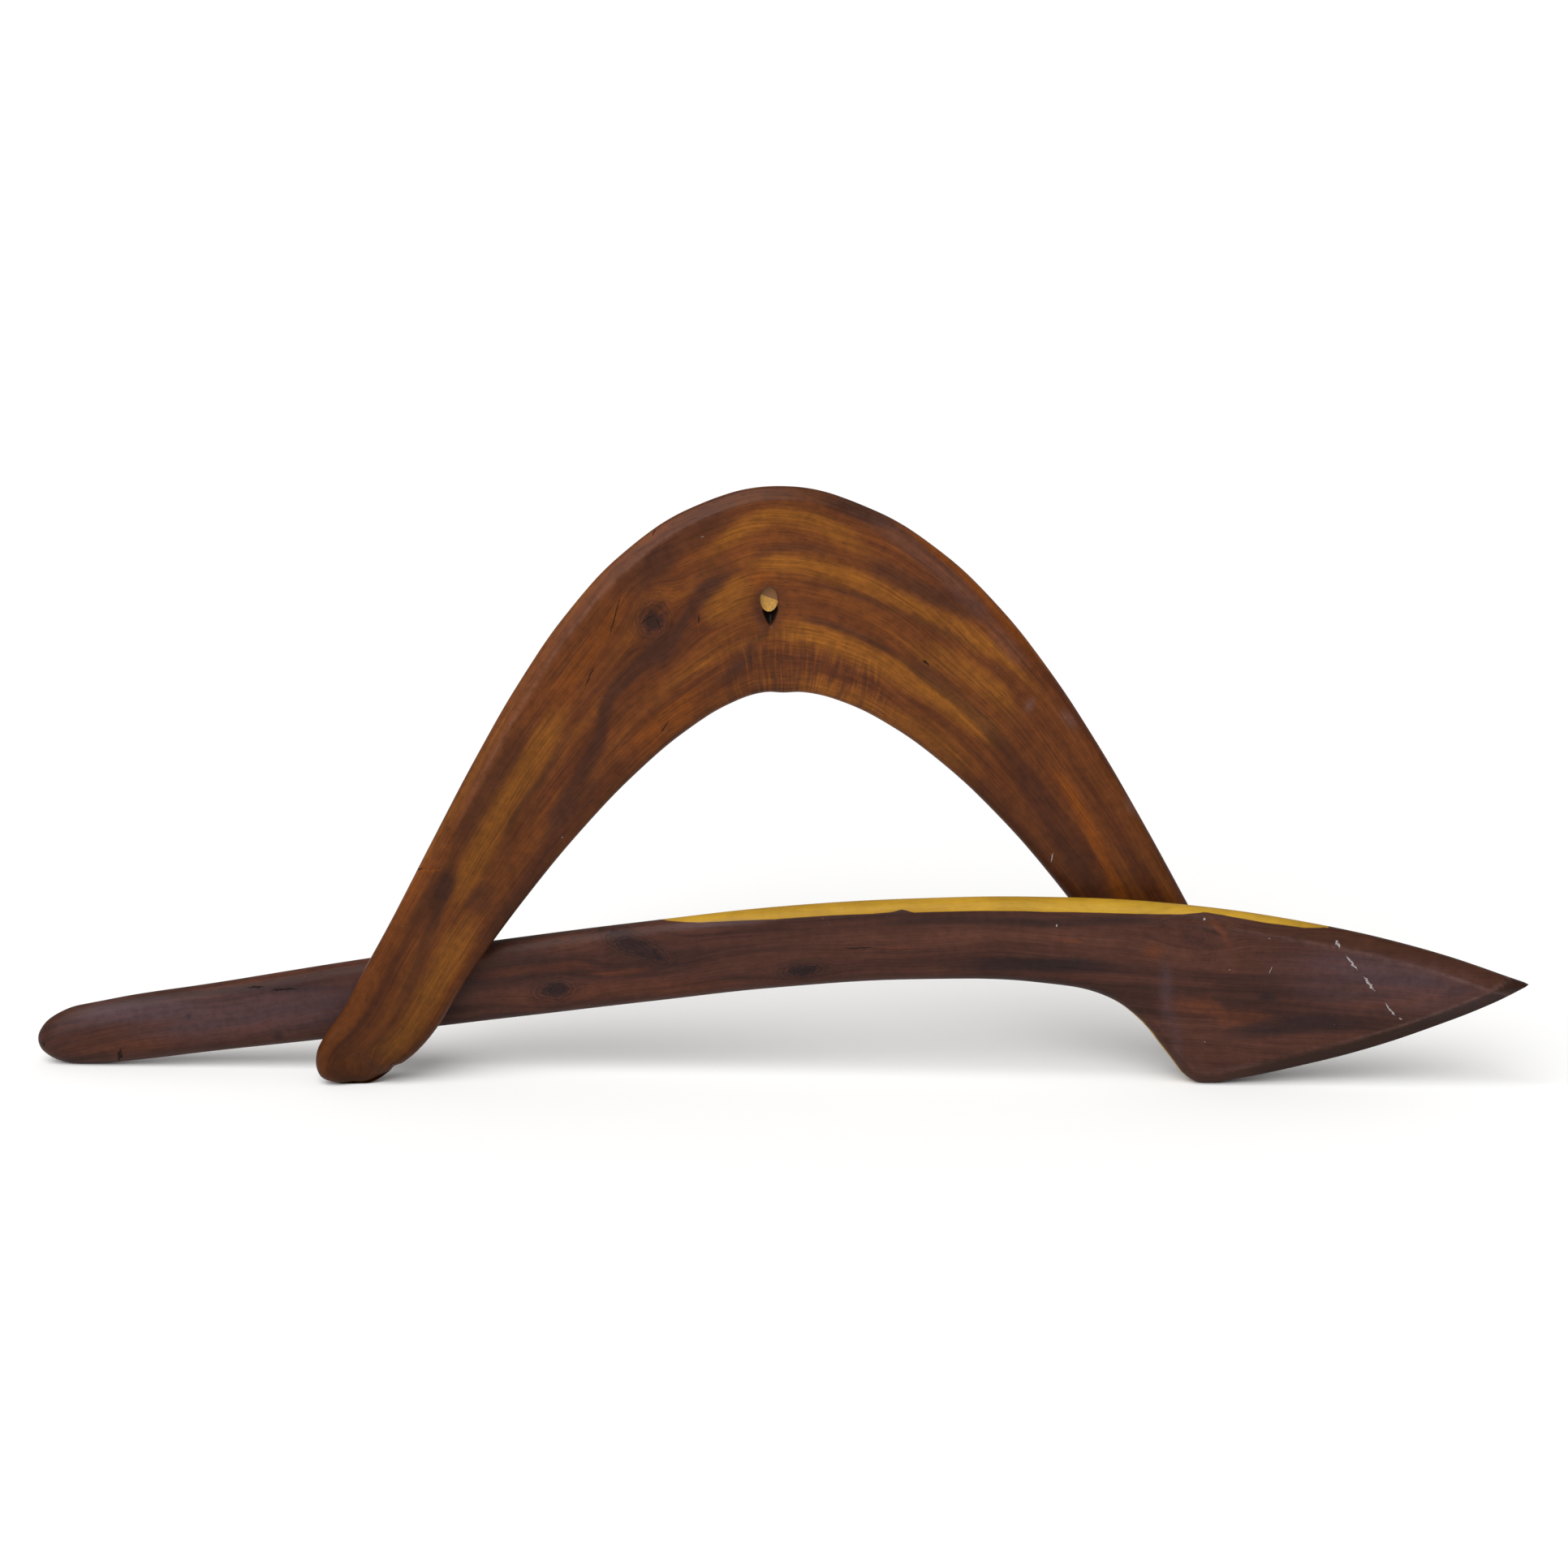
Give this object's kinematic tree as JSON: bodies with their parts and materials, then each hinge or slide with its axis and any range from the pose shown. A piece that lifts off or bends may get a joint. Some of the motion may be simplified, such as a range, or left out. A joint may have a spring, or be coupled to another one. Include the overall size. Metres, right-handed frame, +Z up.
{
  "type": "boomerang pair",
  "caption": "A bent returning boomerang and a long hooked hunting boomerang, carved in dark wood, standing crossed and leaning on each other on a flat surface.",
  "frame": {"origin": "on the surface that the pair stands on, under the centre of the pair's box", "axes": "+X along the hooked boomerang towards its beak, +Y from the front to the back, +Z up"},
  "size_m": [0.7606, 0.0564, 0.3044],
  "materials": {
    "dark_heartwood": "satin varnish on dark purple-brown heartwood, with a pale sapwood strip along the crest",
    "red_heartwood": "satin varnish on red-brown heartwood with golden streaks that follow the bend",
    "pale_plug": "bare pale wood"
  },
  "bodies": {
    "hooked": {"hooked_boomerang": "dark_heartwood"},
    "bent": {"bent_boomerang": "red_heartwood", "knot_plug": "pale_plug"}
  },
  "joints": [
    {"name": "lift_off", "type": "slide", "parent": "hooked", "child": "bent", "axis": [-0.0025, 0.047, 0.9989], "range_m": [0, 0.15]}
  ]
}
